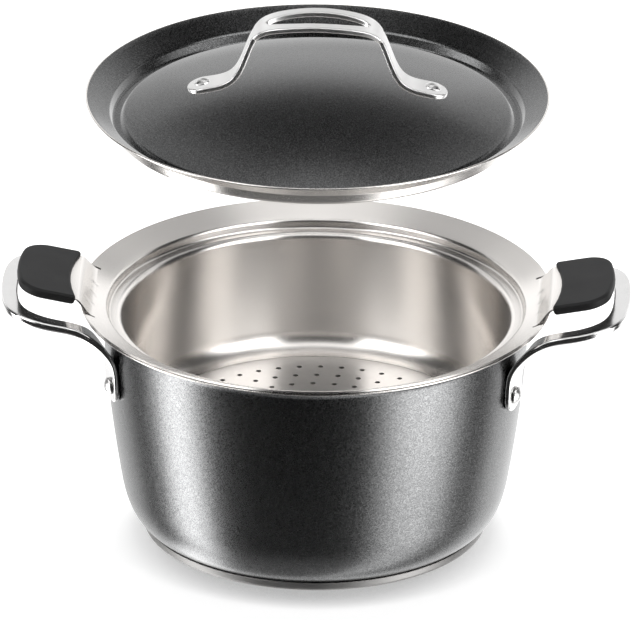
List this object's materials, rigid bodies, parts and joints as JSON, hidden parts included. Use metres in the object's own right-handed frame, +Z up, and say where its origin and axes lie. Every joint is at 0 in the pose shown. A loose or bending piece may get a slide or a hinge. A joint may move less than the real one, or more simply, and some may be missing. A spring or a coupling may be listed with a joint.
{
  "type": "steamer pot",
  "caption": "Two-handled stovetop pot with a drop-in perforated steamer basket on soft-gripped lifting tabs and a coated lid with a riveted arched handle.",
  "frame": {"origin": "middle of the flat base, on the surface the pot stands on", "axes": "+Z up along the axis of the pot, +X through the middle of the right loop handle, +Y to the back"},
  "size_m": [0.3516, 0.2644, 0.3057],
  "materials": {
    "dark_coating": "anthracite non-stick coating with a fine metallic sparkle, satin",
    "brushed_steel": "stainless steel brushed round the bowl, satin",
    "polished_steel": "polished stainless steel",
    "aluminium": "bare heat-spreading disc, sealed in the base",
    "silicone": "black heat-proof silicone, matt"
  },
  "bodies": {
    "pot": {"base_cap": "polished_steel", "base_core": "aluminium", "pot_vessel": "dark_coating", "right_handle": "polished_steel", "left_handle": "polished_steel", "right_front_rivet": "polished_steel", "right_rear_rivet": "polished_steel", "left_front_rivet": "polished_steel", "left_rear_rivet": "polished_steel"},
    "steamer": {"steamer_basket": "brushed_steel", "right_grip": "silicone", "left_grip": "silicone"},
    "lid": {"lid_shell": "dark_coating", "lid_handle": "polished_steel", "lid_left_rivet": "polished_steel", "lid_right_rivet": "polished_steel"}
  },
  "joints": [
    {"name": "steamer_lift", "type": "slide", "parent": "pot", "child": "steamer", "axis": [0, 0, 1], "range_m": [0, 0.09]},
    {"name": "lid_lift", "type": "slide", "parent": "steamer", "child": "lid", "axis": [0, 0, 1], "range_m": [-0.1156, 0.04]}
  ]
}
